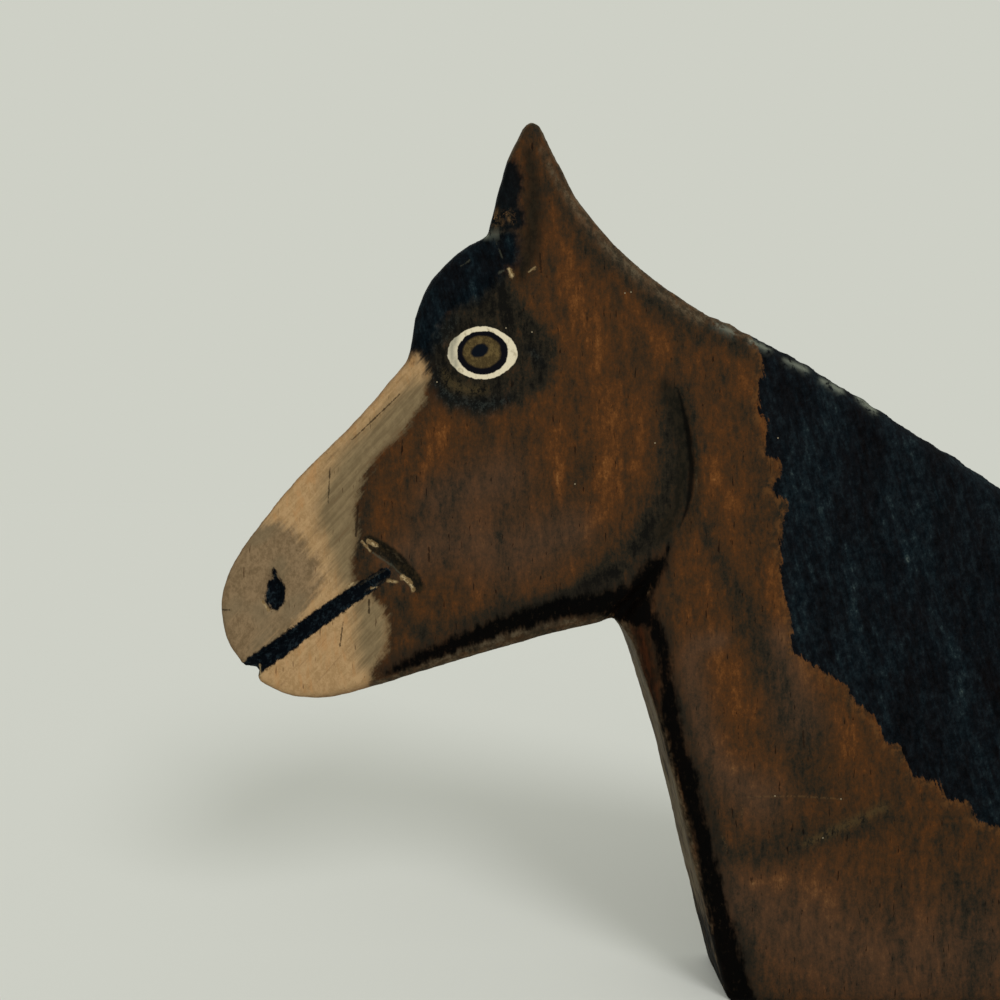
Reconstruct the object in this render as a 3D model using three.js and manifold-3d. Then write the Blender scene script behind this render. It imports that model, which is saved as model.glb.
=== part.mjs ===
// Carved wooden horse figure: the head and neck of a horse sawn from one board, its edges
// eased with a knife, its features cut as grooves, cut off flat below the neck so it stands.
// Millimetres, +Z up. The horse looks along -X and its painted front face is towards -Y.

import * as THREE from 'three';
import { mergeVertices } from 'three/addons/utils/BufferGeometryUtils.js';
import Module from 'manifold-3d';

const wasm = await Module();
wasm.setup();

// Driving dimensions
const BOARD_THICKNESS = 24;
const EDGE_ROUND = 1.4;
const EDGE_ROUND_STEPS = 1;
const CURVE_STEPS = 4;
const SPARE_BELOW_CUT = 8;

// Knife facets that roughen the crest where the mane grows
const FACET_PITCH = 6.8;
const FACET_BULGE = 0.75;
const FACET_POINTS = 4;
const FACET_UNEVENNESS = 0.4;
const FACET_RHYTHM = 1.7;

// Facets pared off the edges of both faces: width across the face, depth down the edge, and how
// much of both is cut along the edge
const THROAT_FACET = { width: 6.3, depth: 4.5, steps: 12, strength: blend(0.15, 1) };
const JAW_FACET = { width: 2.4, depth: 2.4, steps: 12, strength: blend(1, 1) };
const CHIN_FACET = { width: 2.4, depth: 2.4, steps: 8, strength: blend(1, 0.4) };
const BRIDGE_FACET = { width: 2.6, depth: 2.0, steps: 10, strength: blend(0.3, 1) };
const FORELOCK_FACET = { width: 3.2, depth: 2.6, steps: 10, strength: swell(0.5, 0.4) };
const EAR_FACET = { width: 4.8, depth: 3.2, steps: 16, strength: blend(0.3, 1) };
const CREST_FACET = { width: 3.2, depth: 2.6, steps: 24, strength: blend(1, 1) };
const BACK_FACET = { width: 3.2, depth: 2.6, steps: 16, strength: blend(1, 0.5) };
const THROAT_FACET_START = 0.42;
const BRIDGE_FACET_START = 0.5;
const STRETCH_POINTS = 6;

// Grooves cut into a face: width at the face, depth, and how much of both is cut along the groove
const MOUTH = { width: 5.4, depth: 3.0, steps: 14, strength: blend(1, 0.66) };
const MOUTH_CORNER = { width: 4.2, depth: 2.0, steps: 8, strength: swell(0.12, 0.12) };
const NOSTRIL = { width: 6.4, depth: 3.0, steps: 8, strength: swell(0.05, 0.4) };
const THROAT_CUT = { width: 8.0, depth: 5.0, steps: 8, strength: blend(1, 0.2) };
const EAR_CUT = { width: 2.4, depth: 1.6, steps: 6, strength: blend(1, 0.25) };
const JOWL = { depth: 1.8, steepSide: 0.9, slopingSide: 6.0, steps: 14, strength: swell(0.15, 0.5) };
const GROOVE_FLOOR_SHARE = 0.3;

// How far the cutting shapes reach past the wood, so that they cut clean
const WEDGE_REACH = 0.4;
const RIM_ABOVE_FACE = 0.5;
const BLOCK_SIDE = 400;

// Landmarks on the outline: distance behind the muzzle, height above the cut
const THROAT = [112.9, 108.9];
const CHIN_START = [40.3, 88.4];
const LOWER_LIP = [10.4, 91.4];
const MOUTH_NOTCH = [10.6, 94.7];
const UPPER_LIP = [7.1, 95.0];
const BROW = [53.3, 182.9];
const FORELOCK_FRONT = [54.3, 186.3];
const EAR_NOTCH = [76.1, 218.4];
const EAR_TIP_FRONT = [86.1, 248.7];
const EAR_TIP_BACK = [91.2, 249.5];
const POLL = [140.0, 195.7];
const WITHERS = [246.9, 131.4];
const BACK_FOOT = [302.6, 0];

const SIDES = { front: -1, back: 1 };

function spline(...points) {
  return new THREE.SplineCurve(points.map(([x, z]) => new THREE.Vector2(x, z)));
}

function line(start, end) {
  return new THREE.LineCurve(new THREE.Vector2(...start), new THREE.Vector2(...end));
}

// The outline in stretches, up the neck, round the head and down the back
const neckFront = spline([146.9, -SPARE_BELOW_CUT], [144.9, 0], [136.6, 33.7], [128.3, 68.6],
  [119.1, 98.9], [114.6, 106.9], THROAT);
const jaw = spline(THROAT, [93.7, 104.3], [64.9, 96.0], CHIN_START);
const chin = spline(CHIN_START, [32.0, 86.6], [24.3, 86.3], [17.7, 87.6], LOWER_LIP);
const muzzle = spline(UPPER_LIP, [1.9, 102.4], [0, 112.6], [2.0, 122.0], [8.5, 132.4],
  [21.1, 148.3], [38.3, 165.4], BROW);
const forelock = spline(FORELOCK_FRONT, [55.8, 196.3], [60.2, 206.4], [68.3, 214.1], EAR_NOTCH);
const earFront = spline(EAR_NOTCH, [78.7, 228.3], [82.0, 240.1], EAR_TIP_FRONT);
const earTip = new THREE.QuadraticBezierCurve(new THREE.Vector2(...EAR_TIP_FRONT),
  new THREE.Vector2(88.6, 252.7), new THREE.Vector2(...EAR_TIP_BACK));
const earBack = spline(EAR_TIP_BACK, [97.1, 237.4], [105.1, 224.6], [120.8, 208.9], POLL);
const crest = spline(POLL, [163.1, 184.1], [186.9, 169.5], [217.0, 150.3], WITHERS);
const back = spline(WITHERS, [268.5, 113.2], [286.5, 84.0], [298.0, 45.0], BACK_FOOT,
  [302.8, -SPARE_BELOW_CUT]);

// Normal of an outline stretch, pointing into the wood
function inward(curve, t) {
  const tangent = curve.getTangent(t);
  return new THREE.Vector2(tangent.y, -tangent.x);
}

// Chops a stretch into uneven, slightly bulging knife facets
function whittled(curve) {
  const points = [];
  const count = Math.round(curve.getLength() / FACET_PITCH);
  for (let facet = 0; facet < count; facet++) {
    const uneven = 1 - FACET_UNEVENNESS * (1 - Math.sin(FACET_RHYTHM * facet));
    for (let step = 0; step < FACET_POINTS; step++) {
      const s = step / FACET_POINTS;
      const t = (facet + s) / count;
      const bulge = FACET_BULGE * uneven * (1 - (2 * s - 1) ** 2);
      points.push(curve.getPoint(t).addScaledVector(inward(curve, t), -bulge));
    }
  }
  points.push(curve.getPoint(1));
  return points;
}

function outline() {
  const shape = new THREE.Shape();
  const whittledCrest = whittled(crest);
  for (const stretch of [neckFront, jaw, chin, line(LOWER_LIP, MOUTH_NOTCH),
    line(MOUTH_NOTCH, UPPER_LIP), muzzle, line(BROW, FORELOCK_FRONT), forelock, earFront,
    earTip, earBack]) {
    shape.add(stretch);
  }
  for (let i = 0; i + 1 < whittledCrest.length; i++) {
    shape.add(new THREE.LineCurve(whittledCrest[i], whittledCrest[i + 1]));
  }
  shape.add(back);
  shape.closePath();
  return shape;
}

// A point of a face: place on the outline's plane, then depth below that face
function onFace(side, point, depth) {
  return new THREE.Vector3(point.x, side * (BOARD_THICKNESS / 2 - depth), point.y);
}

function toSolid(geometry) {
  geometry.deleteAttribute('normal');
  geometry.deleteAttribute('uv');
  const merged = mergeVertices(geometry);
  const vertProperties = new Float32Array(merged.attributes.position.array);
  const triVerts = new Uint32Array(merged.index.array);
  return new wasm.Manifold(new wasm.Mesh({ numProp: 3, vertProperties, triVerts }));
}

// Skins a row of rings of equal size and caps both ends
function loft(rings) {
  const size = rings[0].length;
  const last = (rings.length - 1) * size;
  const index = [];
  for (let ring = 0; ring < last; ring += size) {
    for (let i = 0; i < size; i++) {
      const next = (i + 1) % size;
      index.push(ring + i, ring + next, ring + size + next);
      index.push(ring + i, ring + size + next, ring + size + i);
    }
  }
  for (let i = 1; i + 1 < size; i++) {
    index.push(0, i + 1, i);
    index.push(last, last + i, last + i + 1);
  }
  const geometry = new THREE.BufferGeometry().setFromPoints(rings.flat());
  geometry.setIndex(index);
  return toSolid(geometry);
}

// Carries a section along a curve on one face. The section lists [offset, depth] corners,
// the offset towards the inside of an outline stretch
function sweep(side, curve, steps, section) {
  const rings = [];
  for (let step = 0; step <= steps; step++) {
    const t = step / steps;
    const normal = inward(curve, t);
    const centre = curve.getPoint(t);
    rings.push(section(t).map(([offset, depth]) =>
      onFace(side, centre.clone().addScaledVector(normal, offset), depth)));
  }
  if (side === SIDES.front) {
    rings.reverse();
  }
  return loft(rings);
}

// Wedge that pares the corner off an edge
function facetCutter(side, curve, { width, depth, steps, strength }) {
  return sweep(side, curve, steps, (t) => {
    const w = width * strength(t);
    const d = depth * strength(t);
    return [
      [w * (1 + WEDGE_REACH), -d * WEDGE_REACH],
      [-w * WEDGE_REACH, -d * WEDGE_REACH],
      [-w * WEDGE_REACH, d * (1 + WEDGE_REACH)],
    ];
  });
}

// Trough with sloping walls and a narrow floor
function grooveCutter(side, curve, { width, depth, steps, strength }) {
  return sweep(side, curve, steps, (t) => {
    const half = width * strength(t) / 2;
    const d = depth * strength(t);
    const rim = half * (1 + (1 - GROOVE_FLOOR_SHARE) * RIM_ABOVE_FACE / d);
    return [
      [rim, -RIM_ABOVE_FACE],
      [-rim, -RIM_ABOVE_FACE],
      [-half * GROOVE_FLOOR_SHARE, d],
      [half * GROOVE_FLOOR_SHARE, d],
    ];
  });
}

// The jowl's line: steep on the neck's side, sloping on the cheek's side
function jowlCutter(side, curve, { depth, steepSide, slopingSide, steps, strength }) {
  return sweep(side, curve, steps, (t) => {
    const share = strength(t);
    const rimShare = 1 + RIM_ABOVE_FACE / (depth * share);
    return [
      [slopingSide * share * rimShare, -RIM_ABOVE_FACE],
      [-steepSide * share * rimShare, -RIM_ABOVE_FACE],
      [0, depth * share],
    ];
  });
}

// Strength that rises from start at t = 0 to about one in the middle and falls to end at t = 1
function swell(start, end) {
  return (t) => {
    const edge = t < 0.5 ? start : end;
    return edge + (1 - edge) * Math.sin(Math.PI * t);
  };
}

function blend(from, to) {
  return (t) => from + (to - from) * THREE.MathUtils.smoothstep(t, 0, 1);
}

// Only the end of a curve, from a share of its length on, for a facet that runs out
function endOf(curve, from) {
  const points = [];
  for (let i = 0; i <= STRETCH_POINTS; i++) {
    points.push(curve.getPoint(from + (1 - from) * i / STRETCH_POINTS));
  }
  return new THREE.SplineCurve(points);
}

function edgeCutters(side) {
  return [
    facetCutter(side, endOf(neckFront, THROAT_FACET_START), THROAT_FACET),
    facetCutter(side, jaw, JAW_FACET),
    facetCutter(side, chin, CHIN_FACET),
    facetCutter(side, endOf(muzzle, BRIDGE_FACET_START), BRIDGE_FACET),
    facetCutter(side, forelock, FORELOCK_FACET),
    facetCutter(side, earBack, EAR_FACET),
    facetCutter(side, crest, CREST_FACET),
    facetCutter(side, back, BACK_FACET),
  ];
}

// The middle lines of the grooves
const mouthLine = spline([3.2, 90.4], [7.4, 93.7], [16.0, 100.3], [26.6, 107.4], [37.4, 115.7],
  [48.9, 122.9]);
const mouthCorner = spline([41.1, 131.7], [49.8, 125.6], [56.3, 116.9]);
const nostril = line([15.1, 124.6], [15.2, 110.4]);
const throatLine = spline([109.4, 105.0], [119.7, 116.6], [127.2, 127.4]);
const earFold = spline([73.6, 218.9], [79.7, 217.7], [86.0, 214.6]);
const jowlLine = spline([130.0, 174.8], [132.9, 164.3], [135.1, 151.4], [134.6, 141.4],
  [132.3, 132.9], [126.0, 123.0]);

function featureCutters(side) {
  return [
    grooveCutter(side, mouthLine, MOUTH),
    grooveCutter(side, mouthCorner, MOUTH_CORNER),
    grooveCutter(side, nostril, NOSTRIL),
    grooveCutter(side, throatLine, THROAT_CUT),
    grooveCutter(side, earFold, EAR_CUT),
    jowlCutter(side, jowlLine, JOWL),
  ];
}

// Everything above the cut, as a block wider than the figure
function aboveCut() {
  const block = new THREE.BoxGeometry(BLOCK_SIDE, BLOCK_SIDE, BLOCK_SIDE);
  block.translate(BLOCK_SIDE / 2 - SPARE_BELOW_CUT, 0, BLOCK_SIDE / 2);
  return toSolid(block);
}

function board() {
  const geometry = new THREE.ExtrudeGeometry(outline(), {
    depth: BOARD_THICKNESS - 2 * EDGE_ROUND,
    curveSegments: CURVE_STEPS,
    bevelEnabled: true,
    bevelThickness: EDGE_ROUND,
    bevelSize: EDGE_ROUND,
    bevelOffset: -EDGE_ROUND,
    bevelSegments: EDGE_ROUND_STEPS,
  });
  geometry.rotateX(Math.PI / 2);
  geometry.translate(0, BOARD_THICKNESS / 2 - EDGE_ROUND, 0);
  return toSolid(geometry);
}

// Offcuts left between neighbouring cuts fall away
function largest(solid) {
  return solid.decompose().reduce((best, piece) => (piece.volume() > best.volume() ? piece : best));
}

function horseHead() {
  let solid = board().intersect(aboveCut());
  for (const side of Object.values(SIDES)) {
    for (const cutter of [...edgeCutters(side), ...featureCutters(side)]) {
      solid = solid.subtract(cutter);
    }
  }
  const cut = largest(solid).getMesh();
  const geometry = new THREE.BufferGeometry();
  const corners = new Float32Array(cut.vertProperties);
  geometry.setAttribute('position', new THREE.BufferAttribute(corners, 3));
  geometry.setIndex([...cut.triVerts]);
  geometry.computeBoundingBox();
  const centre = geometry.boundingBox.getCenter(new THREE.Vector3());
  geometry.translate(-centre.x, 0, 0);
  return geometry;
}

const paintedWood = new THREE.MeshStandardMaterial({
  color: new THREE.Color(0x5a3620),
  roughness: 0.6,
  metalness: 0,
});

const head = new THREE.Mesh(horseHead(), paintedWood);
head.name = 'horse_head';

const figure = new THREE.Group();
figure.add(head);

export default figure;
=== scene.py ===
"""The looks of the carved wooden horse head: one painted board, standing on its cut, in a pale studio."""

import math
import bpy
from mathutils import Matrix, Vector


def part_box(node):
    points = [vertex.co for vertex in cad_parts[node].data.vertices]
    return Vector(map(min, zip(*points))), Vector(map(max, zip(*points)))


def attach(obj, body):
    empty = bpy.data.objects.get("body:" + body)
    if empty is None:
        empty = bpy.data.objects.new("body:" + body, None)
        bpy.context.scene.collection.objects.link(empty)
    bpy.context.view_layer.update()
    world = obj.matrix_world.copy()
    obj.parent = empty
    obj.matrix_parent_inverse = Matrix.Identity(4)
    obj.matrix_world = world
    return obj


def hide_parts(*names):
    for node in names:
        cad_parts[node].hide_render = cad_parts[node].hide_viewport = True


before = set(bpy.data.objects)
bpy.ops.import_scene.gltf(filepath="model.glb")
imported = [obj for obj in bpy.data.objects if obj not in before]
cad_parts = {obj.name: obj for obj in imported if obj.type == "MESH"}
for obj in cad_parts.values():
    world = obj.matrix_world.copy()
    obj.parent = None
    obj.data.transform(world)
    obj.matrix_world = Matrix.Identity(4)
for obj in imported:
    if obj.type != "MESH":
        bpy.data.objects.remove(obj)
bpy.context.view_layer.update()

from types import SimpleNamespace

import bpy
import numpy as np
from mathutils import Vector

MM = 0.001
LOW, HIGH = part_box("horse_head")

# How the photograph shows the board: its scale at the sawn outline, which lies a little behind the painted
# face, and where the outline starts
OUTLINE_PIXELS_PER_MM = 3.5
PHOTO_SIDE = 1000
MUZZLE_COLUMN = 221
CUT_ROW = 1000
CAMERA_DISTANCE = 216 * MM
OUTLINE_DEPTH = 1.4 * MM
PIXELS_PER_MM = OUTLINE_PIXELS_PER_MM * (1 + OUTLINE_DEPTH / CAMERA_DISTANCE)

# Mesh of the painted skin
MERGE_GAP = 0.001 * MM
SKIN_CELL = 1.1 * MM
SOFTEN_PASSES = 2
SOFTEN_SHARE = 0.4

# Unevenness that a knife and a rasp leave: height and wavelength in millimetres
SEED = 11
FACE_WAVES = [(0.06, 26), (0.03, 9)]
WALL_WAVES = [(0.16, 11), (0.08, 4)]
GROOVE_WAVES = [(0.16, 3.2)]

# How far the side walls move out on the whole, in millimetres, and how close to the flat cut a corner
# counts as lying on it
WALL_SWELL = 0.2
CUT_BAND = 0.6 * MM

# Soft clouds on the muzzle: their wavelength, and the factor on heights that makes them longer upwards
CLOUD_LENGTH = 8 * MM
CLOUD_HEIGHT_FACTOR = 0.7

# Depth over which the small marks of the photographed face fade out, because the back is plainer
FRONT_FADE = 6 * MM

# Relief of the brushed paint
RELIEF_DEPTH = 0.22 * MM
RELIEF_STRENGTH = 0.6

# Areas of paint, as corners at columns and rows of the photograph
MANE = [(740, 290), (750, 325), (761, 353), (765, 366), (759, 383), (758, 414), (768, 422), (767, 454),
        (781, 461), (780, 475), (771, 490), (786, 503), (782, 531), (779, 559), (783, 590), (790, 612),
        (794, 652), (805, 658), (829, 676), (849, 687), (857, 704), (874, 716), (886, 742), (903, 748),
        (914, 776), (936, 780), (948, 800), (968, 802), (978, 822), (1000, 826), (1014, 844), (1034, 834),
        (1050, 846), (1066, 822), (1080, 818), (1084, 776), (1098, 752), (1096, 704), (1110, 676),
        (1108, 628), (1122, 596), (1126, 520), (1040, 420), (900, 330)]
FORELOCK = [(385, 354), (375, 320), (400, 270), (430, 236), (470, 215), (490, 228), (512, 231), (519, 240),
            (519, 262), (510, 270), (496, 286), (474, 302), (450, 316), (438, 334), (432, 352), (424, 356),
            (408, 353)]
EAR_FRONT = [(488, 160), (507, 158), (516, 163), (520, 172), (523, 186), (519, 203), (524, 217), (517, 229),
             (480, 232), (470, 200)]
PALE = [(395, 345), (405, 354), (410, 358), (414, 351), (418, 350), (422, 358), (426, 368), (427, 384),
        (422, 404), (410, 421), (395, 438), (379, 454), (365, 474), (357, 498), (354, 520), (356, 540),
        (352, 560), (354, 580), (368, 594), (384, 610), (387, 630), (384, 652), (372, 674), (356, 712),
        (300, 730), (220, 720), (190, 620), (205, 520), (280, 440), (360, 360)]
GREY_BAND_ABOVE = [(414, 380), (440, 380), (446, 404), (420, 444), (392, 480), (374, 510), (368, 550),
                   (364, 590), (346, 592), (334, 574), (328, 553), (322, 533), (317, 514), (320, 488),
                   (333, 463), (348, 443), (370, 422), (390, 402), (402, 390)]
GREY_BAND_BELOW = [(354, 600), (384, 596), (390, 640), (378, 672), (364, 672), (355, 650)]
MUZZLE_OVAL = [(190, 660), (200, 560), (246, 506), (262, 522), (278, 522), (293, 532), (308, 546), (320, 562),
               (322, 580), (312, 600), (296, 622), (277, 642), (246, 680)]
EYE_SHADE = [(420, 340), (436, 322), (462, 296), (490, 278), (506, 276), (514, 290), (526, 310), (552, 330),
             (560, 352), (552, 380), (530, 398), (504, 408), (468, 412), (444, 402), (426, 376)]
JOWL_SHADE = [(664, 384), (676, 383), (690, 402), (697, 440), (697, 480), (692, 512), (678, 540), (654, 556),
              (638, 568), (618, 590), (580, 604), (520, 618), (560, 594), (598, 566), (628, 538), (648, 506),
              (658, 470), (661, 430), (659, 400)]
THROAT_NOTCH = [(617, 622), (598, 612), (616, 598), (634, 578), (644, 562), (652, 557), (662, 558),
                (669, 547), (667, 562), (662, 576), (653, 592), (653, 612), (642, 628)]

# Painted and cut lines: column, row and half width in pixels
MOUTH_LINE = [(236, 677, 9), (250, 669, 10), (261, 661, 10), (284, 645, 9.5), (316, 621, 9), (345, 601, 8.5),
              (370, 584, 7.5), (386, 573, 6)]
JAW_LINE = [(384, 673, 1), (400, 667, 4), (416, 660, 6), (459, 643, 7.5), (500, 626, 9), (535, 616, 9.5),
            (557, 609, 10.5), (600, 603, 11), (622, 598, 12)]
NECK_LINE = [(644, 606, 7), (654, 626, 7), (663, 652, 6), (668, 688, 7), (672, 720, 8), (678, 748, 9),
             (686, 777, 10), (696, 812, 9), (705, 850, 9), (713, 888, 10), (721, 926, 12), (730, 966, 14),
             (741, 1008, 16)]
# The jowl's thin near-black line is painted shade, where the steep side of its crease shades it
JOWL_CREASE_SHADE = [(678, 390, 0.6), (682, 404, 1.6), (688, 430, 2.6), (692, 460, 3.0), (692, 484, 2.6),
             (688, 508, 1.8), (682, 524, 0.6)]
CORNER_GOUGE = [(362, 541), (366, 535), (376, 537), (389, 545), (401, 554), (412, 566), (420, 577),
                (424, 588), (420, 593), (414, 592), (403, 579), (392, 567), (381, 558), (371, 551)]
NOSTRIL_TAIL = [(273, 568, 0.8), (274, 580, 3.5)]

# Soft brush strokes: column, row and half width in pixels, along the stroke
CHARCOAL = [
    [(532, 122, 9), (532, 136, 8)],
    [(548, 184, 4), (563, 207, 5), (581, 231, 7), (602, 257, 10), (628, 284, 13), (656, 307, 13),
     (692, 326, 14), (742, 350, 12)],
    [(680, 700, 5), (694, 750, 8), (706, 800, 10), (722, 860, 12), (742, 930, 14), (762, 1000, 16)],
    [(884, 822, 10), (840, 832, 15), (796, 842, 18), (754, 856, 15), (722, 850, 10)],
    [(700, 520, 5), (722, 565, 12), (748, 615, 17), (778, 690, 20), (800, 740, 22), (812, 786, 12)],
    [(786, 498, 5), (774, 516, 8)],
    [(366, 496, 5), (360, 540, 7), (366, 575, 7)],
    [(652, 566, 5), (640, 582, 9)],
    [(650, 520, 6), (640, 548, 8)],
    [(396, 600, 6), (420, 632, 10), (480, 618, 11), (560, 598, 10), (612, 570, 9)],
    [(1268, 700, 24), (1290, 860, 28), (1296, 1010, 28)],
    [(1130, 780, 20), (1170, 820, 24), (1180, 900, 22)],
    [(960, 880, 16), (980, 930, 20), (972, 1000, 20)],
]
UMBER = [
    [(528, 152, 5), (533, 190, 9), (532, 235, 13), (526, 258, 11), (521, 276, 7)],
    [(664, 384, 6), (671, 396, 10), (678, 414, 10), (682, 440, 9), (683, 470, 8), (678, 505, 8),
     (662, 534, 8)],
]
SOOT = [
    [(424, 338, 5), (430, 368, 7), (441, 391, 9), (460, 402, 9), (486, 407, 9), (510, 398, 6)],
    [(508, 236, 6), (512, 250, 6), (511, 260, 4)],
    [(440, 340, 6), (452, 322, 7)],
    [(526, 348, 3), (536, 355, 3), (542, 364, 3)],
]
OLIVE = [
    [(444, 372, 3), (450, 383, 5), (466, 389, 5), (484, 390, 4)],
    [(884, 807, 5), (846, 825, 5), (806, 844, 4)],
]
ORANGE = [
    [(550, 200, 3), (560, 240, 6), (574, 290, 13), (594, 340, 18), (604, 390, 19), (610, 440, 19),
     (604, 490, 14), (588, 530, 8)],
    [(612, 274, 4), (642, 315, 7), (664, 350, 8)],
    [(636, 380, 8), (640, 430, 7), (634, 470, 6)],
    [(566, 330, 7), (562, 390, 9), (556, 450, 9), (560, 500, 6)],
    [(696, 540, 6), (706, 590, 10), (716, 630, 13), (728, 668, 14), (738, 712, 13)],
    [(720, 738, 8), (734, 768, 9)],
    [(778, 755, 5), (779, 782, 7)],
    [(750, 380, 4), (764, 425, 5), (776, 468, 5)],
    [(722, 350, 8), (738, 370, 9), (742, 392, 8)],
    [(706, 462, 8), (722, 486, 11), (738, 508, 9)],
    [(770, 560, 8), (776, 600, 9), (784, 640, 8)],
    [(798, 662, 8), (824, 690, 12), (846, 728, 12), (860, 768, 8)],
    [(752, 884, 5), (790, 880, 8), (830, 900, 14)],
    [(440, 430, 10), (430, 470, 10)],
    [(379, 600, 4), (382, 620, 5), (382, 640, 4)],
    [(1060, 890, 16), (1080, 940, 20), (1070, 990, 18)],
    [(1180, 720, 12), (1215, 820, 18), (1224, 940, 18)],
]
FADED = [
    [(400, 560, 20), (450, 540, 34), (510, 550, 36), (570, 530, 24)],
    [(500, 480, 30), (440, 500, 24)],
    [(720, 640, 10), (690, 660, 16), (712, 760, 18), (760, 800, 30)],
    [(730, 900, 40), (800, 930, 60), (880, 960, 60), (980, 950, 60)],
    [(780, 640, 18), (800, 720, 26)],
]
RUSSET = [
    [(636, 622, 8), (645, 654, 9), (652, 694, 9), (660, 740, 7), (666, 764, 3)],
]
BARE_WOOD = [
    [(410, 354, 2.4), (414, 362, 4.0)],
    [(494, 208, 2.6), (495, 216, 4.4), (498, 224, 4.4)],
    [(502, 215, 2.2), (509, 213, 2.8), (512, 221, 2.6)],
]
# Worn paint along the jaw's bevel and the ear's back and crest, with painted highlight where these bevels
# face the light
WORN_AND_LIT_EDGE = [
    [(400, 674, 2.5), (430, 664, 4), (456, 655, 4.5), (500, 640, 5), (535, 630, 4.5), (575, 621, 4)],
    [(542, 148, 2.5), (554, 175, 3), (573, 203, 4.5), (591, 226, 6), (611, 248, 7), (640, 274, 7.5),
     (668, 296, 7), (702, 318, 6)],
]
DULL_WHITE = [
    [(457, 336, 3), (451, 350, 4.4), (456, 366, 3.4)],
]
WORN_CREST = [
    [(716, 325, 4.0), (733, 333, 4.4)],
    [(752, 341, 3.4), (768, 349, 4.2)],
    [(786, 361, 3.4), (806, 369, 4.4)],
    [(824, 381, 3.6), (842, 390, 4.4)],
    [(862, 398, 3.2), (876, 410, 4.4)],
    [(488, 236, 3.0), (496, 234, 5.0)],
]

# Thin chips and painted rim highlights, scratches and cracks: column, row and half width in pixels, along
# each line
# Pale chips, and painted highlights on the lit rims of the cut at the mouth's corner and of the nostril
PALE_CHIPS_AND_RIM_HIGHLIGHTS = [
    [(362, 541, 1.1), (370, 551, 0.5)],
    [(368, 541, 1.5), (376, 546, 2.4)],
    [(402, 577, 1.7), (410, 583, 2.6), (413, 590, 0.9)],
    [(388, 581, 0.8), (396, 582, 1.6)],
    [(349, 586, 1.1), (353, 583, 1.0)],
    [(371, 589, 0.7), (376, 587, 0.9)],
    [(262, 602, 0.7), (268, 611, 1.0)],
    [(257, 667, 1.0), (260, 676, 1.5)],
    [(509, 269, 1.4), (512, 276, 2.0)],
    [(529, 272, 0.5), (535, 267, 0.7)],
]
GREY_HAIRLINES = [
    [(373, 553, 0.5), (392, 566, 0.7), (403, 577, 0.5)],
    [(496, 242, 0.4), (503, 259, 0.4)],
    [(461, 266, 0.4), (470, 260, 0.7)],
    [(499, 273, 0.8), (504, 270, 1.0)],
]
SCRATCHES = [
    [(748, 797, 0.8), (796, 796, 1.0), (843, 799, 1.0)],
    [(743, 803, 0.9), (742, 818, 0.9)],
    [(722, 836, 1.2), (727, 850, 1.0)],
]
CRACKS = [
    [(220, 610, 0.8), (229, 610, 0.6)],
    [(358, 506, 1.2), (356, 536, 1.0)],
    [(330, 468, 0.5), (328, 503, 0.6)],
    [(400, 394, 0.6), (352, 440, 0.6)],
    [(429, 547, 0.8), (429, 561, 0.9)],
    [(369, 600, 0.8), (369, 613, 0.8)],
    [(803, 731, 0.9), (804, 747, 0.8)],
    [(540, 254, 1.2), (541, 272, 1.0)],
    [(343, 622, 0.7), (340, 646, 0.5)],
]
SPECKS = [(775, 796), (841, 799), (625, 293), (631, 292), (778, 438), (655, 443), (575, 484), (506, 328),
          (437, 382), (532, 332), (823, 838)]
SPECK_SIZE = 0.27

# Painted eye and nostril: middle, half length and half height, in pixels
EYE_WHITE = (482.5, 353, 35, 26.5)
EYE_RING = (482.5, 352.8, 25.4, 21.8)
EYE_IRIS = (482, 352, 18.9, 16)
EYE_PUPIL = (480, 350.4, 9.3, 6.4)
NOSTRIL = (274.5, 594, 10.6, 16.5)
EYE_WHITE_POINT = 0.16
PUPIL_TILT = 0.4

# Paints as the photograph shows them, in red, green and blue from 0 to 255: from dark to light, each tone
# with the value where it stands alone
WARM_BROWN = [(0.0, (16, 15, 13)), (0.20, (36, 32, 25)), (0.43, (60, 41, 25)), (0.62, (77, 47, 24)),
              (0.80, (102, 62, 30)), (1.0, (140, 96, 54))]
FADED_BROWN = [(0.0, (20, 19, 17)), (0.20, (41, 36, 29)), (0.43, (65, 48, 35)), (0.62, (79, 55, 38)),
               (0.80, (96, 68, 45)), (1.0, (140, 108, 74))]
NAVY = [(0.12, (1, 3, 6)), (0.42, (5, 13, 19)), (0.66, (15, 27, 33)), (0.84, (36, 49, 52)),
        (1.0, (84, 92, 88))]

# Paints with a dark and a light tone
TWO_TONES = {
    "umber": ((20, 19, 14), (33, 28, 20)),
    "soot": ((9, 12, 14), (40, 44, 42)),
    "pink": ((150, 120, 84), (168, 136, 99)),
    "grey": ((103, 88, 65), (124, 107, 80)),
    "muzzle": ((106, 87, 64), (130, 108, 82)),
    "pitch": ((2, 2, 2), (24, 18, 12)),
    "gouge": ((17, 17, 13), (42, 34, 22)),
    "ink": ((5, 8, 13), (28, 38, 44)),
    # Pale chips and painted rim highlights
    "chip_and_highlight": ((112, 90, 60), (178, 156, 118)),
    "bare_wood": ((66, 52, 34), (124, 92, 58)),
    # Worn paint and painted highlight on the bevels
    "worn_and_lit_edge": ((58, 50, 38), (88, 78, 62)),
    "russet": ((19, 10, 6), (56, 28, 14)),
    "eye_white": ((184, 172, 146), (216, 204, 178)),
    "iris": ((66, 54, 33), (94, 78, 48)),
}

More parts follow.
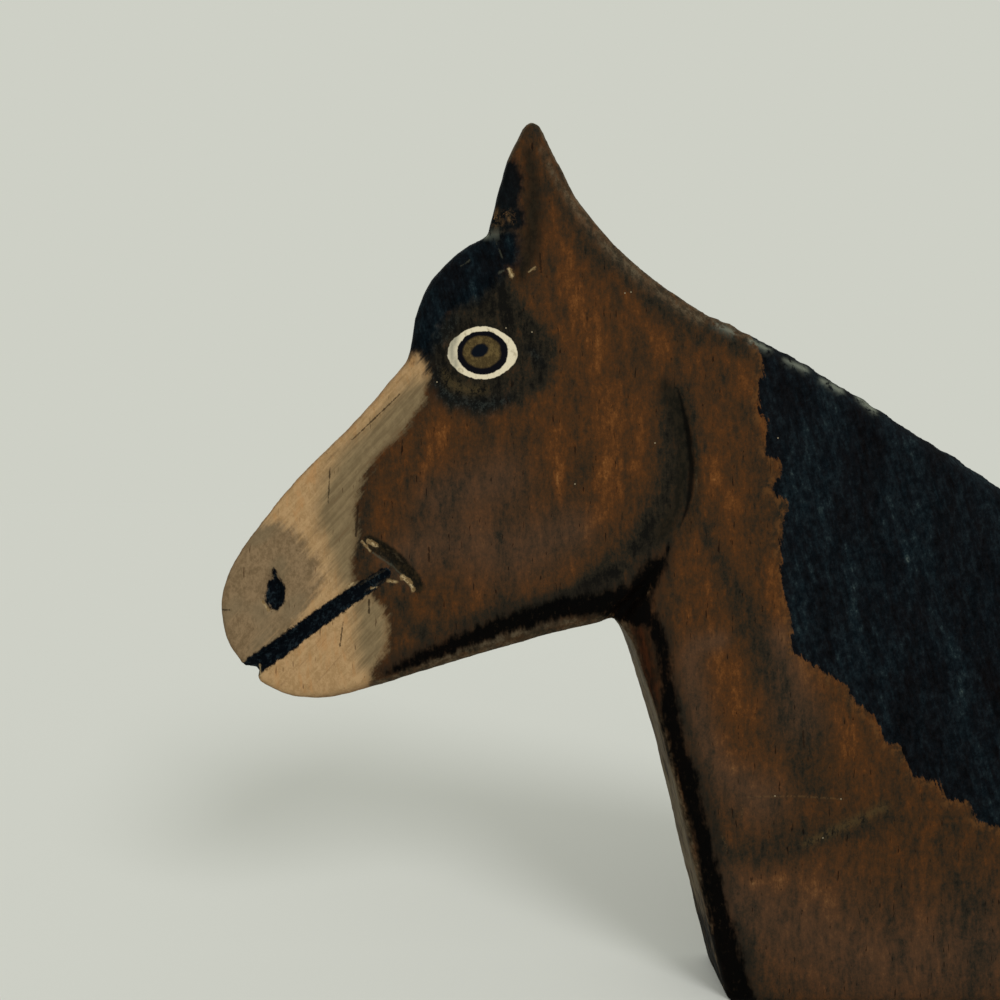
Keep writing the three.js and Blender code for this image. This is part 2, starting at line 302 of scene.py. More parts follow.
# Paints of one tone
ONE_TONES = {
    "olive": (72, 60, 38),
    "pore": (14, 10, 8),
    "scratch": (108, 84, 54),
    "warm_pink": (164, 121, 78),
    "light_pink": (174, 144, 106),
    "muzzle_cloud": (112, 98, 76),
    "muzzle_stroke": (138, 114, 86),
    "pale_stroke": (104, 78, 54),
    "pale_pore": (62, 40, 24),
    # Painted shade on the side walls of the pale muzzle
    "pale_wall_shade": (98, 77, 56),
    "pale_fringe": (36, 26, 18),
    "ear_black": (5, 7, 8),
    "mane_rim": (104, 68, 36),
    "halo": (30, 26, 21),
    # Painted shade in the jowl's crease
    "jowl_crease_shade": (7, 7, 6),
    "hairline": (78, 78, 66),
    "speck": (136, 124, 102),
    "crack": (32, 22, 14),
    "worn_crest": (116, 120, 108),
    "bare_wall": (92, 83, 67),
    "dull_white": (142, 138, 122),
    "eye_ring": (11, 11, 17),
    "pupil": (10, 15, 23),
}


def photo_middle():
    """The middle of the photograph's frame as x and z on the board, in metres."""
    half = PHOTO_SIDE / 2
    return np.array([LOW.x + (half - MUZZLE_COLUMN) / OUTLINE_PIXELS_PER_MM * MM,
                     (CUT_ROW - half) / OUTLINE_PIXELS_PER_MM * MM])


def place(points):
    """Columns and rows of the photograph as x and z on the painted face, in metres."""
    from_middle = np.atleast_2d(np.array(points, float)) - PHOTO_SIDE / 2
    return photo_middle() + from_middle * [1, -1] / PIXELS_PER_MM * MM


def smooth_line(points, steps=4):
    """A curve through the points, as a longer row of points."""
    spots = np.array(points, float)
    before = np.vstack([2 * spots[0] - spots[1], spots[:-2]])
    after = np.vstack([spots[2:], 2 * spots[-1] - spots[-2]])
    row = []
    for a, b, c, d in zip(before, spots[:-1], spots[1:], after):
        for t in np.arange(steps) / steps:
            row.append(0.5 * (2 * b + (c - a) * t + (2 * a - 5 * b + 4 * c - d) * t**2
                              + (3 * b - a - 3 * c + d) * t**3))
    return np.array(row + [spots[-1]])


def nearest(spots, line):
    """For every spot, its distance to a row of points, how far along it that is, and on which side."""
    best = np.full(len(spots), np.inf)
    where = np.zeros(len(spots))
    side = np.ones(len(spots))
    for i in range(len(line) - 1):
        start, run = line[i], line[i + 1] - line[i]
        away = spots - start
        t = np.clip((away @ run) / max(run @ run, 1e-18), 0, 1)
        gap = np.linalg.norm(away - t[:, None] * run, axis=1)
        closer = gap < best
        best[closer] = gap[closer]
        where[closer] = i + t[closer]
        side[closer] = np.sign(run[0] * away[closer, 1] - run[1] * away[closer, 0])
    return best, where, side


def area_gap(spots, corners, smooth=True):
    """Signed distance in millimetres to an area's edge, negative inside."""
    ring = np.vstack([corners, corners[:1]])
    edge = place(smooth_line(ring) if smooth else ring)
    gap, _, _ = nearest(spots, edge)
    inside = np.zeros(len(spots), bool)
    x, z = spots[:, 0], spots[:, 1]
    for (x0, z0), (x1, z1) in zip(edge[:-1], edge[1:]):
        if z0 != z1:
            crosses = (z0 > z) != (z1 > z)
            inside ^= crosses & (x < x0 + (z - z0) * (x1 - x0) / (z1 - z0))
    return np.where(inside, -gap, gap) / MM


def half_width(path, where):
    """A line's half width in millimetres at places along it."""
    return np.interp(where, np.arange(len(path)), path[:, 2]) / PIXELS_PER_MM


def line_gap(spots, line):
    """Signed distance in millimetres to the edge of a line of varying width, negative inside."""
    path = smooth_line(line)
    gap, where, _ = nearest(spots, place(path[:, :2]))
    return gap / MM - half_width(path, where)


def side_gap(spots, line):
    """Distance in millimetres to a line's middle, signed by side, and the line's half width there."""
    path = smooth_line(line)
    gap, where, side = nearest(spots, place(path[:, :2]))
    return side * gap / MM, half_width(path, where)


def strokes(spots, rows):
    """Strength from 0 to 1 of soft brush strokes, one at the middle of a stroke."""
    left = np.ones(len(spots))
    for row in rows:
        path = smooth_line(row, 3)
        gap, where, _ = nearest(spots, place(path[:, :2]))
        left *= 1 - np.exp(-((gap / MM / half_width(path, where)) ** 2))
    return 1 - left


def ripple(points, wavelength, seed, waves=7):
    """Smooth unevenness, mostly between -1 and 1, made of waves in random directions."""
    draw = np.random.default_rng(seed)
    total = np.zeros(len(points))
    for _ in range(waves):
        direction = draw.normal(size=3)
        direction /= np.linalg.norm(direction)
        length = wavelength * draw.uniform(0.7, 1.6)
        total += np.sin(points @ direction * (2 * math.pi / length) + draw.uniform(0, 2 * math.pi))
    return total / waves * 1.6


def unevenness(points, heights, seed):
    """Several ripples together, in millimetres."""
    return sum(height * ripple(points, length * MM, seed + i) for i, (height, length) in enumerate(heights))


def fine_skin(node):
    """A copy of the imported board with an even, fine mesh."""
    bpy.ops.object.select_all(action="DESELECT")
    head = bpy.data.objects.new("painted_head", node.data.copy())
    bpy.context.scene.collection.objects.link(head)
    head.data.materials.clear()
    head.select_set(True)
    bpy.context.view_layer.objects.active = head
    bpy.ops.object.mode_set(mode="EDIT")
    bpy.ops.mesh.select_all(action="SELECT")
    bpy.ops.mesh.remove_doubles(threshold=MERGE_GAP)
    bpy.ops.object.mode_set(mode="OBJECT")
    skin = head.modifiers.new("even skin", "REMESH")
    skin.mode = "VOXEL"
    skin.voxel_size = SKIN_CELL
    bpy.ops.object.modifier_apply(modifier=skin.name)
    soften = head.modifiers.new("worn corners", "SMOOTH")
    soften.factor = SOFTEN_SHARE
    soften.iterations = SOFTEN_PASSES
    bpy.ops.object.modifier_apply(modifier=soften.name)
    return head


def corners_of(mesh):
    """The places of a mesh's corners, one row each."""
    co = np.empty(len(mesh.vertices) * 3)
    mesh.vertices.foreach_get("co", co)
    return co.reshape(-1, 3)


def normals_of(mesh):
    """The directions that a mesh's corners face, one row each."""
    normals = np.empty(len(mesh.vertices) * 3)
    mesh.vertex_normals.foreach_get("vector", normals)
    return normals.reshape(-1, 3)


def whittle(head):
    """Small unevenness that a knife and a rasp leave, kept inside the board's own box."""
    co = corners_of(head.data)
    normals = normals_of(head.data)
    spots = co[:, [0, 2]]
    on_wall = 1 - np.abs(normals[:, 1])
    near_groove = np.minimum(line_gap(spots, MOUTH_LINE), area_gap(spots, CORNER_GOUGE))
    ragged = np.exp(-near_groove**2 / 2)
    move = unevenness(co, FACE_WAVES, SEED)
    move += on_wall * (unevenness(co, WALL_WAVES, SEED + 2) + WALL_SWELL)
    move += ragged * unevenness(co, GROOVE_WAVES, SEED + 4)
    on_cut = co[:, 2] < CUT_BAND
    co += normals * move[:, None] * MM
    co[on_cut, 2] = LOW.z
    co = np.clip(co, np.array(LOW), np.array(HIGH))
    head.data.vertices.foreach_set("co", co.ravel())
    head.data.update()


def store(mesh, name, values):
    """Keeps one value for each corner of a mesh under a name."""
    layer = mesh.attributes.new(name, "FLOAT", "POINT")
    layer.data.foreach_set("value", np.asarray(values, np.float32))


def lay_out_paint(head):
    """Works out, for every point of the skin, where it lies in each painted area, line and stroke."""
    mesh = head.data
    co = corners_of(mesh)
    spots = co[:, [0, 2]]
    black = np.minimum(line_gap(spots, JAW_LINE), line_gap(spots, NECK_LINE))
    jowl_side, jowl_half = side_gap(spots, JOWL_CREASE_SHADE)
    areas = {
        "mane": area_gap(spots, MANE, smooth=False),
        "forelock": area_gap(spots, FORELOCK),
        "ear_front": area_gap(spots, EAR_FRONT),
        "pale": area_gap(spots, PALE),
        "grey_band": np.minimum(area_gap(spots, GREY_BAND_ABOVE), area_gap(spots, GREY_BAND_BELOW)),
        "muzzle_oval": area_gap(spots, MUZZLE_OVAL),
        "eye_shade": area_gap(spots, EYE_SHADE),
        "jowl_shade": area_gap(spots, JOWL_SHADE),
        "black": np.minimum(black, area_gap(spots, THROAT_NOTCH)),
        "jowl_side": jowl_side,
        "jowl_half": jowl_half,
        "mouth": np.minimum(line_gap(spots, MOUTH_LINE), line_gap(spots, NOSTRIL_TAIL)),
        "gouge": area_gap(spots, CORNER_GOUGE),
        "charcoal": strokes(spots, CHARCOAL),
        "faded": strokes(spots, FADED),
        "soot": strokes(spots, SOOT),
        "olive": strokes(spots, OLIVE),
        "orange": strokes(spots, ORANGE),
        "umber": strokes(spots, UMBER),
        "russet": strokes(spots, RUSSET),
        "worn_and_lit_edge": strokes(spots, WORN_AND_LIT_EDGE),
        "bare_wood": strokes(spots, BARE_WOOD),
        "dull_white": strokes(spots, DULL_WHITE),
        "worn_crest": strokes(spots, WORN_CREST),
        "clouds": ripple(co * np.array([1, 1, CLOUD_HEIGHT_FACTOR]), CLOUD_LENGTH, SEED + 6),
        "wall": 1 - np.abs(normals_of(mesh)[:, 1]),
        "front": np.clip(0.5 - co[:, 1] / FRONT_FADE, 0, 1),
    }
    for name, values in areas.items():
        store(mesh, name, values)


# Share of its colour that a paint on the face shows in the studio's light
LIGHT_ON_FACE = 0.85


def shown(red, green, blue):
    """The shader's colour of a paint that the photograph shows, from 0 to 255, in the studio's light."""
    def linear(value):
        v = value / 255
        return v / 12.92 if v <= 0.04045 else ((v + 0.055) / 1.055) ** 2.4
    return (*(linear(value) / LIGHT_ON_FACE for value in (red, green, blue)), 1.0)


class Finish:
    """Short calls that add nodes to one material."""

    def __init__(self, name):
        self.material = bpy.data.materials.new(name)
        self.material.use_nodes = True
        self.tree = self.material.node_tree
        self.shader = self.tree.nodes["Principled BSDF"]
        self.spot = self.tree.nodes.new("ShaderNodeTexCoord").outputs["Object"]

    def plug(self, socket, value):
        """Links a socket to another node's output, or sets its value."""
        if isinstance(value, bpy.types.NodeSocket):
            self.tree.links.new(value, socket)
        else:
            socket.default_value = value

    def area(self, name):
        """A value that the skin's corners keep under this name."""
        node = self.tree.nodes.new("ShaderNodeAttribute")
        node.attribute_name = name
        return node.outputs["Fac"]

    def math(self, operation, a, b=0.0):
        node = self.tree.nodes.new("ShaderNodeMath")
        node.operation = operation
        self.plug(node.inputs[0], a)
        self.plug(node.inputs[1], b)
        return node.outputs[0]

    def vector(self, operation, a, b=(0, 0, 0), output="Vector"):
        node = self.tree.nodes.new("ShaderNodeVectorMath")
        node.operation = operation
        self.plug(node.inputs[0], a)
        self.plug(node.inputs[1], b)
        return node.outputs[output]

    def noise(self, scale, detail=3.0, rough=0.55, turn=0.0):
        """Noise with so many waves to the millimetre along each axis, turned in the plane of the face."""
        spread = self.tree.nodes.new("ShaderNodeMapping")
        spread.vector_type = "TEXTURE"
        self.plug(spread.inputs["Vector"], self.spot)
        spread.inputs["Scale"].default_value = [MM / s for s in scale]
        spread.inputs["Rotation"].default_value = (0, -turn, 0)
        node = self.tree.nodes.new("ShaderNodeTexNoise")
        self.plug(node.inputs["Vector"], spread.outputs[0])
        node.inputs["Scale"].default_value = 1.0
        node.inputs["Detail"].default_value = detail
        node.inputs["Roughness"].default_value = rough
        return node.outputs["Fac"]

    def step(self, value, low, high, to_low=0.0, to_high=1.0):
        """Rises smoothly from to_low at low to to_high at high."""
        node = self.tree.nodes.new("ShaderNodeMapRange")
        node.interpolation_type = "SMOOTHSTEP"
        self.plug(node.inputs["Value"], value)
        node.inputs["From Min"].default_value = low
        node.inputs["From Max"].default_value = high
        node.inputs["To Min"].default_value = to_low
        node.inputs["To Max"].default_value = to_high
        return node.outputs["Result"]

    def mix(self, share, under, over):
        """A colour with so much of another over it."""
        node = self.tree.nodes.new("ShaderNodeMix")
        node.data_type = "RGBA"
        self.plug(node.inputs["Factor"], share)
        self.plug(node.inputs["A"], under)
        self.plug(node.inputs["B"], over)
        return node.outputs["Result"]

    def ramp(self, value, tones):
        """A colour between several tones, each with the value where it stands alone."""
        node = self.tree.nodes.new("ShaderNodeValToRGB")
        self.plug(node.inputs["Fac"], value)
        stops = node.color_ramp.elements
        for stop, (position, tone) in zip([stops[0], stops[-1]], [tones[0], tones[-1]]):
            stop.position, stop.color = position, shown(*tone)
        for position, tone in tones[1:-1]:
            stops.new(position).color = shown(*tone)
        return node.outputs["Color"]

    def coat(self, share, under, name):
        """A colour with so much of a one-tone paint over it."""
        return self.mix(share, under, shown(*ONE_TONES[name]))

    def two_tones(self, share, name):
        """A paint between its dark and its light tone."""
        dark, light = TWO_TONES[name]
        return self.mix(share, shown(*dark), shown(*light))

    def sum(self, *values):
        total = values[0]
        for value in values[1:]:
            total = self.math("ADD", total, value)
        return total

    def swing(self, noise, reach):
        """A noise as a change to and fro, that far to either side at most."""
        return self.math("MULTIPLY", self.math("SUBTRACT", noise, 0.5), 2 * reach)

    def times(self, *values):
        total = values[0]
        for value in values[1:]:
            total = self.math("MULTIPLY", total, value)
        return total

    def wobble(self, gap, noise, reach):
        """A distance that a noise moves to and fro, in millimetres."""
        return self.sum(gap, self.swing(noise, reach / 2))

    def inside(self, gap, noise, reach, soft):
        """Share of paint inside an area, its edge moved by a noise and softened, in millimetres."""
        return self.step(self.wobble(gap, noise, reach), soft, -soft)

    def oval_gap(self, oval, turn=0.0, point=0.0):
        """Signed distance in millimetres to an oval on the face. A point sharpens its two ends."""
        column, row, half_length, half_height = oval
        (x, z), = place([(column, row)])
        unit = self.tree.nodes.new("ShaderNodeMapping")
        unit.vector_type = "TEXTURE"
        self.plug(unit.inputs["Vector"], self.vector("MULTIPLY", self.spot, (1, 0, 1)))
        unit.inputs["Location"].default_value = (x, 0, z)
        unit.inputs["Rotation"].default_value = (0, -turn, 0)
        size = [half / PIXELS_PER_MM * MM for half in (half_length, half_height)]
        unit.inputs["Scale"].default_value = (size[0], 1, size[1])
        flat = unit.outputs[0]
        if point:
            parts = self.tree.nodes.new("ShaderNodeSeparateXYZ")
            self.plug(parts.inputs[0], flat)
            along, _, across = parts.outputs
            sharpened = self.math("ADD", 1.0, self.times(along, along, point))
            joined = self.tree.nodes.new("ShaderNodeCombineXYZ")
            self.plug(joined.inputs[0], along)
            self.plug(joined.inputs[2], self.times(across, sharpened))
            flat = joined.outputs[0]
        reach = self.vector("LENGTH", flat, output="Value")
        return self.times(self.math("SUBTRACT", reach, 1.0), min(size) / MM)

    def dots(self, spots, size):
        """Share of paint in small round dots on the face."""
        flat = self.vector("MULTIPLY", self.spot, (1, 0, 1))
        gap = 1.0
        for x, z in place(spots):
            gap = self.math("MINIMUM", gap, self.vector("DISTANCE", flat, (x, 0, z), "Value"))
        return self.step(gap, size * MM, size * MM / 2)

    def thin_gap(self, lines):
        """Signed distance in millimetres to the edge of thin straight lines on the face."""
        flat = self.vector("MULTIPLY", self.spot, (1, 0, 1))
        nearest_gap = 99.0
        for line in lines:
            for start, end in zip(line[:-1], line[1:]):
                (x0, z0), (x1, z1) = place([start[:2], end[:2]])
                along = self.tree.nodes.new("ShaderNodeMapping")
                along.vector_type = "TEXTURE"
                self.plug(along.inputs["Vector"], flat)
                along.inputs["Location"].default_value = ((x0 + x1) / 2, 0, (z0 + z1) / 2)
                along.inputs["Rotation"].default_value = (0, -math.atan2(z1 - z0, x1 - x0), 0)
                half_run = (math.hypot(x1 - x0, z1 - z0) / 2, 0, 0)
                beyond = self.vector("SUBTRACT", self.vector("ABSOLUTE", along.outputs[0]), half_run)
                gap = self.vector("LENGTH", self.vector("MAXIMUM", beyond), output="Value")
                half = (start[2] + end[2]) / 2 / PIXELS_PER_MM
                gap = self.math("SUBTRACT", self.math("DIVIDE", gap, MM), half)
                nearest_gap = self.math("MINIMUM", nearest_gap, gap)
        return nearest_gap


def grain_noises(f):
    """The noises that all the paints share, each named after what it leaves on the board."""
    return SimpleNamespace(
        fibres=f.noise((1.2, 1.2, 0.30), detail=1, rough=0.6),
        streaks=f.noise((0.42, 0.42, 0.10), detail=3, rough=0.65, turn=0.12),
        mottle=f.noise((0.62, 0.62, 0.46), detail=3, rough=0.85),
        blotches=f.noise((0.15, 0.15, 0.045), detail=3, rough=0.72, turn=-0.16),
        dabs=f.noise((0.5, 0.5, 0.36), detail=2, rough=0.7),
        bristles=f.noise((0.8, 0.8, 0.12), detail=2, rough=0.7, turn=0.3),
        nose_brush=f.noise((0.8, 0.8, 0.07), detail=2, rough=0.7, turn=-0.74),
        pores=f.noise((1.7, 1.7, 0.22), detail=1),
    )


def paint_shares(f, g):
    """What lies at a place, from 0 to 1: each paint, side wall and front. Only pale_gap is a distance."""
    pale_gap = f.wobble(f.area("pale"), g.nose_brush, 5.0)
    pale = f.inside(pale_gap, g.mottle, 3.6, 1.5)
    forelock = f.inside(f.area("forelock"), g.dabs, 5.0, 2.2)
    ear = f.inside(f.area("ear_front"), g.dabs, 4.0, 1.2)
    mane = f.inside(f.wobble(f.area("mane"), g.bristles, 4.5), g.mottle, 2.6, 0.35)
    navy = f.math("MAXIMUM", f.math("MAXIMUM", forelock, ear), mane)
    black = f.inside(f.wobble(f.area("black"), g.streaks, 4.5), g.dabs, 3.4, 1.1)
    body = f.math("SUBTRACT", 1.0, f.math("MAXIMUM", pale, navy))
    not_black = f.math("SUBTRACT", 1.0, black)
    return SimpleNamespace(pale_gap=pale_gap, pale=pale, forelock=forelock, ear=ear, navy=navy, black=black,
                           not_black=not_black, body=body, plain_body=f.times(body, not_black),
                           wall=f.area("wall"), front=f.area("front"))


def brown_body(f, g, share):
    """One brown paint, dry-brushed warm and dark, greyer where it has faded."""
    charcoal = f.times(f.area("charcoal"), f.step(g.blotches, 0.38, 0.60, 0.5, 1.0), -0.22)
    eye_shade = f.times(f.inside(f.area("eye_shade"), g.dabs, 5.0, 3.0), -0.32)
    jowl_shade = f.times(f.inside(f.area("jowl_shade"), g.dabs, 4.0, 3.2), -0.25)
    tone = f.sum(f.swing(g.mottle, 0.40), f.swing(g.fibres, 0.10), f.swing(g.streaks, 0.27),
                 f.swing(g.blotches, 0.36), f.times(f.area("orange"), 0.18), f.times(f.area("faded"), 0.03),
                 charcoal, eye_shade, jowl_shade, 0.44)
    brown = f.mix(f.area("faded"), f.ramp(tone, WARM_BROWN), f.ramp(tone, FADED_BROWN))
    umber = f.times(f.area("umber"), f.step(g.mottle, 0.28, 0.46, 0.7, 1.0), 0.92)
    brown = f.mix(umber, brown, f.two_tones(f.step(g.dabs, 0.4, 0.6), "umber"))
    soot = f.times(f.area("soot"), f.step(g.mottle, 0.36, 0.54, 0.5, 1.0), 0.9)
    brown = f.mix(soot, brown, f.two_tones(f.step(g.mottle, 0.46, 0.66), "soot"))
    brown = f.coat(f.times(f.area("olive"), f.step(g.mottle, 0.36, 0.56), 0.6), brown, "olive")
    brown = f.coat(f.times(f.step(g.pores, 0.32, 0.26), f.step(g.dabs, 0.46, 0.56), 0.8), brown, "pore")
    scratches = f.inside(f.thin_gap(SCRATCHES), g.mottle, 2.0, 0.3)
    scratches = f.times(scratches, share.front, f.step(g.mottle, 0.42, 0.62, 0.0, 0.5))
    return f.coat(scratches, brown, "scratch")


def pale_muzzle(f, g, share):
    """Pink along the nose and chin, grey next to the brown, grey-brown round the nostril, and painted shade
    on its side walls.
    """
    pink = f.two_tones(f.step(g.mottle, 0.36, 0.64), "pink")
    pink = f.coat(f.times(f.step(g.streaks, 0.50, 0.68), 0.55), pink, "warm_pink")
    pink = f.coat(f.times(f.step(g.nose_brush, 0.50, 0.70), 0.4), pink, "light_pink")
    grey_tone = f.sum(f.times(g.nose_brush, 0.65), f.times(g.dabs, 0.35))
    grey = f.two_tones(f.step(grey_tone, 0.36, 0.64), "grey")
    muzzle = f.two_tones(f.step(g.mottle, 0.34, 0.66), "muzzle")
    muzzle = f.coat(f.times(f.step(f.area("clouds"), -0.2, 0.6), 0.5), muzzle, "muzzle_cloud")
    muzzle = f.coat(f.times(f.step(g.nose_brush, 0.52, 0.68), 0.4), muzzle, "muzzle_stroke")
    pale = f.mix(f.times(f.inside(f.area("grey_band"), g.nose_brush, 6.0, 3.6), 0.95), pink, grey)
    muzzle_gap = f.wobble(f.area("muzzle_oval"), g.nose_brush, 7.0)
    pale = f.mix(f.inside(muzzle_gap, g.dabs, 5.0, 2.4), pale, muzzle)
    pale = f.coat(f.times(f.step(g.nose_brush, 0.38, 0.26), 0.3), pale, "pale_stroke")
    pale = f.coat(f.times(f.step(g.pores, 0.29, 0.23), 0.7), pale, "pale_pore")
    # Painted shade: the pale paint is darker on the side walls of the nose and muzzle
    wall_shade = f.times(f.step(share.wall, 0.10, 0.45), f.step(g.dabs, 0.3, 0.6, 0.5, 1.0), 0.7)
    return f.coat(wall_shade, pale, "pale_wall_shade")


def navy_hair(f, g, share):
    """Mane, forelock and front of the ear, brushed downwards."""
    bands = f.noise((0.14, 0.14, 0.035), detail=1, turn=0.1)
    tone = f.sum(f.swing(g.dabs, 0.34), f.swing(g.bristles, 0.34), f.swing(g.mottle, 0.50),
                 f.swing(bands, 0.34), f.times(share.forelock, -0.05), 0.43)
    return f.coat(f.times(share.ear, 0.7), f.ramp(tone, NAVY), "ear_black")


def main_paints(f, g, share):
    """The brown body, with the pale muzzle and the navy hair laid over it."""
    fringe = f.times(f.step(share.pale_gap, 4.0, 0.0), f.step(g.dabs, 0.4, 0.6, 0.2, 1.0), 0.55)
    colour = f.coat(fringe, brown_body(f, g, share), "pale_fringe")
    colour = f.mix(share.pale, colour, pale_muzzle(f, g, share))
    mane_rim = f.times(f.step(f.area("mane"), 4.0, 0.5), f.step(g.dabs, 0.44, 0.62), 0.5)
    colour = f.coat(mane_rim, colour, "mane_rim")
    return f.mix(f.times(share.navy, 0.97), colour, navy_hair(f, g, share))


def dark_lines(f, g, share, colour):
    """Black lines with soft edges, ragged black in the cuts, and a thin line of painted shade in the jowl's
    crease.
    """
    on_face = f.step(share.wall, 0.22, 0.08)
    near_black = f.step(f.wobble(f.area("black"), g.blotches, 6.0), 4.6, -0.5)
    halo = f.times(near_black, f.step(g.mottle, 0.3, 0.6, 0.4, 1.0), share.body, on_face, 0.7)
    colour = f.coat(halo, colour, "halo")
    pitch = f.two_tones(f.step(g.mottle, 0.56, 0.74), "pitch")
    colour = f.mix(f.times(share.black, 0.97), colour, pitch)
    # Painted shade: a thin near-black line along the jowl's crease
    jowl_gap = f.math("SUBTRACT", f.math("ABSOLUTE", f.area("jowl_side")), f.area("jowl_half"))
    colour = f.coat(f.times(f.inside(jowl_gap, g.dabs, 0.9, 0.5), 0.9), colour, "jowl_crease_shade")
    gouge = f.times(f.inside(f.area("gouge"), g.dabs, 1.2, 0.5), share.front, 0.95)
    colour = f.mix(gouge, colour, f.two_tones(f.step(g.mottle, 0.40, 0.66), "gouge"))
    mouth_gap = f.math("MINIMUM", f.area("mouth"), f.oval_gap(NOSTRIL))
    mouth = f.inside(f.wobble(mouth_gap, g.dabs, 1.4), g.mottle, 1.8, 0.3)
    return f.mix(mouth, colour, f.two_tones(f.step(g.mottle, 0.48, 0.70), "ink"))


def small_marks(f, g, share, colour):
    """Hairlines, chips, painted highlights on the rims of cuts, specks, cracks and bare spots, on the front
    face only.
    """
    hairlines = f.inside(f.thin_gap(GREY_HAIRLINES), g.mottle, 1.6, 0.25)
    colour = f.coat(f.times(hairlines, share.front, 0.4), colour, "hairline")
    # Pale chips, and painted highlights on the rims of the mouth's corner cut and the nostril
    chips_and_rim_highlights = f.inside(f.thin_gap(PALE_CHIPS_AND_RIM_HIGHLIGHTS), g.mottle, 2.6, 0.25)
    chip_and_highlight = f.two_tones(f.step(g.mottle, 0.42, 0.58), "chip_and_highlight")
    colour = f.mix(f.times(chips_and_rim_highlights, share.front, 0.9), colour, chip_and_highlight)
    colour = f.coat(f.times(f.dots(SPECKS, SPECK_SIZE), share.front), colour, "speck")
    cracks = f.inside(f.thin_gap(CRACKS), g.mottle, 1.0, 0.16)
    colour = f.coat(f.times(cracks, share.front, 0.8), colour, "crack")
    bare_wood = f.times(f.area("bare_wood"), share.front, f.step(g.mottle, 0.42, 0.58),
                        f.step(share.wall, 0.95, 0.60), 0.75)
    return f.mix(bare_wood, colour, f.two_tones(f.step(g.fibres, 0.4, 0.6), "bare_wood"))


def wear(f, g, share, colour):
    """Worn edges with painted highlight on the bevels, worn crest, half-bare side walls, and darker red-brown
    on the facet under the throat.
    """
    # Bevels, side walls and listed edges lighter: worn paint, and painted highlight on the bevels that face
    # the light
    thin_paint = f.sum(g.dabs, g.blotches)
    worn_and_lit = f.math("MAXIMUM", f.step(share.wall, 0.10, 0.30), f.area("worn_and_lit_edge"))
    edge = f.times(worn_and_lit, f.step(thin_paint, 0.80, 1.16, 0.35, 1.0), share.plain_body, 0.8)
    colour = f.mix(edge, colour, f.two_tones(f.step(g.mottle, 0.4, 0.6), "worn_and_lit_edge"))
    crest = f.times(f.area("worn_crest"), share.front, f.step(share.wall, 0.05, 0.30, 0.35, 1.0),
                    f.step(share.wall, 0.95, 0.60), f.step(g.dabs, 0.32, 0.54), 0.85)
    colour = f.coat(crest, colour, "worn_crest")
    rubbed = f.step(f.sum(g.streaks, g.blotches), 0.80, 1.16, 0.1, 1.0)
    bare = f.times(f.step(share.wall, 0.60, 0.95), rubbed, share.plain_body, 0.75)
    colour = f.coat(bare, colour, "bare_wall")
    # Darker red-brown on the facet under the throat
    dark_throat_facet = f.times(f.area("russet"), share.not_black, f.step(share.wall, 0.7, 0.5), 0.92)
    return f.mix(dark_throat_facet, colour, f.two_tones(f.step(g.streaks, 0.40, 0.66), "russet"))


def painted_eye(f, g, colour):
    """A white almond, a dark ring, an olive iris and a slanting pupil."""
    white = f.two_tones(f.step(g.dabs, 0.30, 0.46), "eye_white")
    white = f.coat(f.times(f.area("dull_white"), 0.9), white, "dull_white")
    white_gap = f.oval_gap(EYE_WHITE, point=EYE_WHITE_POINT)
    colour = f.mix(f.inside(white_gap, g.dabs, 0.9, 0.12), colour, white)
    colour = f.coat(f.inside(f.oval_gap(EYE_RING), g.dabs, 0.8, 0.12), colour, "eye_ring")
    iris = f.two_tones(f.step(g.mottle, 0.4, 0.65), "iris")
    colour = f.mix(f.inside(f.oval_gap(EYE_IRIS), g.dabs, 0.8, 0.35), colour, iris)
    pupil_gap = f.oval_gap(EYE_PUPIL, turn=PUPIL_TILT)
    return f.coat(f.inside(pupil_gap, g.dabs, 1.0, 0.35), colour, "pupil")


def painted_wood():
    """Old hand paint on a board: brown body, pale muzzle, navy mane, black lines and a painted eye."""
    f = Finish("painted_wood")
    g = grain_noises(f)
    share = paint_shares(f, g)
    colour = main_paints(f, g, share)
    colour = dark_lines(f, g, share, colour)
    colour = small_marks(f, g, share, colour)
    colour = wear(f, g, share, colour)
    colour = painted_eye(f, g, colour)

    f.plug(f.shader.inputs["Base Color"], colour)
    f.plug(f.shader.inputs["Roughness"], f.step(g.dabs, 0.3, 0.7, 0.50, 0.68))
    f.shader.inputs["Specular IOR Level"].default_value = 0.02

    relief = f.tree.nodes.new("ShaderNodeBump")
    relief.inputs["Strength"].default_value = RELIEF_STRENGTH
    relief.inputs["Distance"].default_value = RELIEF_DEPTH
    f.plug(relief.inputs["Height"], f.sum(f.times(g.fibres, 0.6), f.times(g.mottle, 0.6)))
    f.plug(f.shader.inputs["Normal"], relief.outputs["Normal"])
    return f.material


def painted_head():
    head = fine_skin(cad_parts["horse_head"])
    whittle(head)
    lay_out_paint(head)
    head.data.materials.append(painted_wood())
    head.data.polygons.foreach_set("use_smooth", [True] * len(head.data.polygons))
    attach(head, "root")
    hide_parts("horse_head")
    return head


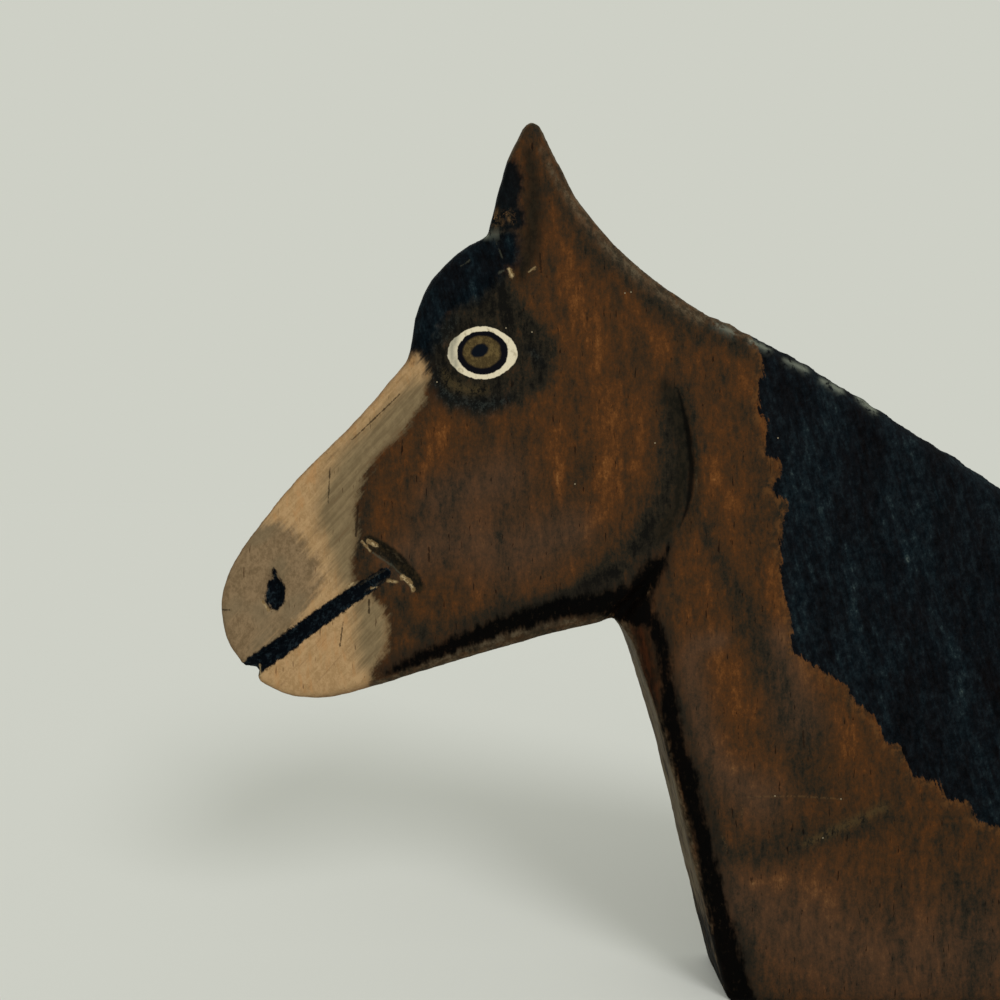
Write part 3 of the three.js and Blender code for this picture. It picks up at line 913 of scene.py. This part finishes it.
# Studio: a wide pale sheet under an even white sky, with a soft sun in front and a weaker one behind
SHEET_RADIUS = 40.0
SHEET_CORNERS = 128
SHEET_COLOUR = (0.642, 0.647, 0.622, 1.0)
SKY_COLOUR = (0.617, 0.631, 0.565, 1.0)
FRONT_SUN = {"towards": (0.50, -0.80, 0.75), "strength": 1.1, "softness": math.radians(24)}
BACK_SUN = {"towards": (-0.40, 0.80, 0.80), "strength": 0.6, "softness": math.radians(40)}


def paper():
    f = Finish("pale_sheet")
    f.shader.inputs["Base Color"].default_value = SHEET_COLOUR
    f.shader.inputs["Roughness"].default_value = 1.0
    f.shader.inputs["Specular IOR Level"].default_value = 0.0
    return f.material


def studio_sheet():
    """A pale floor, wide enough that no view sees its end."""
    bpy.ops.object.select_all(action="DESELECT")
    bpy.ops.mesh.primitive_circle_add(vertices=SHEET_CORNERS, radius=SHEET_RADIUS, fill_type="NGON",
                                      location=(0, 0, LOW.z))
    sheet = bpy.context.object
    sheet.name = "studio_sheet"
    sheet.data.materials.append(paper())


def sun(name, towards, strength, softness):
    light = bpy.data.lights.new(name, "SUN")
    light.energy = strength
    light.angle = softness
    holder = bpy.data.objects.new(name, light)
    bpy.context.scene.collection.objects.link(holder)
    holder.rotation_euler = Vector(towards).to_track_quat("Z", "Y").to_euler()


def studio_light():
    sun("front_sun", **FRONT_SUN)
    sun("back_sun", **BACK_SUN)
    world = bpy.data.worlds.new("studio")
    world.use_nodes = True
    world.node_tree.nodes["Background"].inputs["Color"].default_value = SKY_COLOUR
    bpy.context.scene.world = world


# Camera's sensor in millimetres, and the nearest that it sees, in metres
SENSOR_WIDTH = 36
NEAREST_SEEN = 0.01


def camera():
    """Level with the middle of the photograph's frame, square to the painted face."""
    centre = photo_middle()
    data = bpy.data.cameras.new("camera")
    data.sensor_width = SENSOR_WIDTH
    data.lens = data.sensor_width * PIXELS_PER_MM * (CAMERA_DISTANCE / MM) / PHOTO_SIDE
    data.clip_start = NEAREST_SEEN
    holder = bpy.data.objects.new("camera", data)
    bpy.context.scene.collection.objects.link(holder)
    holder.location = (centre[0], LOW.y - CAMERA_DISTANCE, centre[1])
    holder.rotation_euler = (math.pi / 2, 0, 0)
    bpy.context.scene.camera = holder


camera()
painted_head()
studio_sheet()
studio_light()
bpy.context.scene.view_settings.view_transform = "Standard"
